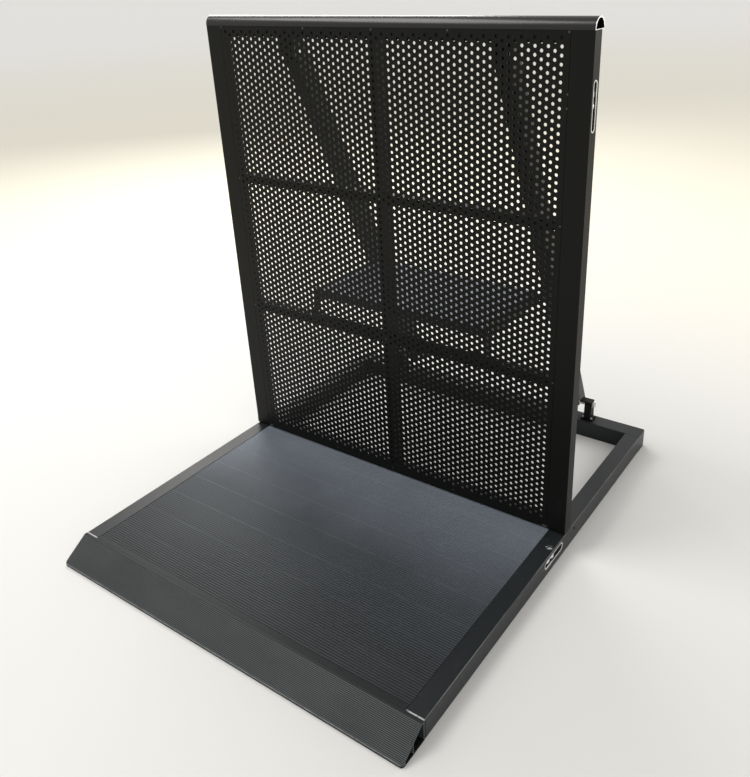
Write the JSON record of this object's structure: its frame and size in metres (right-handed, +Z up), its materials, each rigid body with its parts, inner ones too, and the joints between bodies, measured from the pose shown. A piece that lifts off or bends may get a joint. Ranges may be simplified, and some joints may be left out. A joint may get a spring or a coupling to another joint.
{
  "type": "folding crowd barrier",
  "caption": "Free-standing perforated crowd barrier with a ribbed tread deck and sloped nose, rear struts, a hinged guard step and side locks; it folds flat over its deck.",
  "frame": {"origin": "centre of the whole barrier's footprint, on the floor", "axes": "+X to the right as the audience side is faced, -Y towards the audience, +Z up"},
  "size_m": [1, 1.266, 1.2],
  "materials": {
    "frame_paint": "satin dark grey coating",
    "panel_paint": "satin black powder coat",
    "deck_metal": "ribbed extrusion, dark anodised",
    "bare_aluminium": "bare, sawn",
    "lock_chrome": "polished",
    "zinc_steel": "zinc plated",
    "black_plastic": "matte"
  },
  "bodies": {
    "base": {"side_tube_right": "frame_paint", "side_tube_left": "frame_paint", "rear_bar": "frame_paint", "tube_front_plate_right": "bare_aluminium", "tube_front_plate_left": "bare_aluminium", "deck_ledge_right": "frame_paint", "deck_ledge_left": "frame_paint", "tread_plank_1": "deck_metal", "tread_plank_2": "deck_metal", "tread_plank_3": "deck_metal", "tread_plank_4": "deck_metal", "tread_plank_5": "deck_metal", "tread_plank_6": "deck_metal", "tread_plank_7": "deck_metal", "tread_plank_8": "deck_metal", "nose_ramp": "deck_metal", "strut_lug_right": "panel_paint", "strut_lug_left": "panel_paint", "strut_foot_bolt_right": "zinc_steel", "strut_foot_bolt_left": "zinc_steel", "lower_lock_housing": "lock_chrome", "lower_lock_receiver": "lock_chrome"},
    "lower_cam": {"lower_lock_cam": "zinc_steel"},
    "foot_carriage": {"panel_shoe_right": "black_plastic", "panel_shoe_left": "black_plastic", "panel_hinge_pin_right": "zinc_steel", "panel_hinge_pin_left": "zinc_steel"},
    "guard_step": {"step_board": "deck_metal", "step_side_rail_right": "frame_paint", "step_side_rail_left": "frame_paint"},
    "panel": {"panel_stile_right": "panel_paint", "panel_stile_left": "panel_paint", "top_rail": "panel_paint", "perforated_sheet": "panel_paint", "top_bar": "panel_paint", "bottom_bar": "panel_paint", "centre_post": "panel_paint", "upper_rail_right": "panel_paint", "upper_rail_left": "panel_paint", "lower_rail_right": "panel_paint", "lower_rail_left": "panel_paint", "upper_lock_housing": "lock_chrome", "upper_lock_receiver": "lock_chrome", "strut_top_bracket_right": "panel_paint", "strut_top_bracket_left": "panel_paint", "strut_top_bolt_right": "zinc_steel", "strut_top_bolt_left": "zinc_steel", "step_bracket_right": "panel_paint", "step_bracket_left": "panel_paint", "step_hinge_pin_right": "zinc_steel", "step_hinge_pin_left": "zinc_steel"},
    "upper_cam": {"upper_lock_cam": "zinc_steel"},
    "strut_right_arm": {"strut_right": "frame_paint", "step_peg_right": "zinc_steel"},
    "strut_left_arm": {"strut_left": "frame_paint", "step_peg_left": "zinc_steel"}
  },
  "joints": [
    {"name": "foot_slide", "type": "slide", "parent": "base", "child": "foot_carriage", "axis": [0, 1, 0], "range_m": [0, 0.4696]},
    {"name": "panel_fold", "type": "hinge", "parent": "foot_carriage", "child": "panel", "pos_m": [0, 0.05601, 0.0556], "axis": [1, 0, 0], "range_deg": [0, 90]},
    {"name": "strut_right_pivot", "type": "hinge", "parent": "panel", "child": "strut_right_arm", "pos_m": [0.286, 0.11701, 1.12], "axis": [1, 0, 0], "range_deg": [-25.6, 0]},
    {"name": "strut_left_pivot", "type": "hinge", "parent": "panel", "child": "strut_left_arm", "pos_m": [-0.286, 0.11701, 1.12], "axis": [1, 0, 0], "range_deg": [-25.6, 0]},
    {"name": "step_fold", "type": "hinge", "parent": "panel", "child": "guard_step", "pos_m": [0, 0.09901, 0.512], "axis": [1, 0, 0], "range_deg": [0, 90]},
    {"name": "upper_cam_turn", "type": "hinge", "parent": "panel", "child": "upper_cam", "pos_m": [0.488, 0.06701, 1.042], "axis": [0, 1, 0], "range_deg": [0, 90]},
    {"name": "lower_cam_turn", "type": "hinge", "parent": "base", "child": "lower_cam", "pos_m": [0.488, -0.00649, 0.031], "axis": [0, 0, 1], "range_deg": [0, 90]}
  ],
  "couplings": [
    {"joint": "foot_slide", "follows": "panel_fold", "m_per_rad": 0.29889},
    {"joint": "strut_right_pivot", "follows": "panel_fold", "ratio": -0.28391},
    {"joint": "strut_left_pivot", "follows": "panel_fold", "ratio": -0.28391}
  ]
}
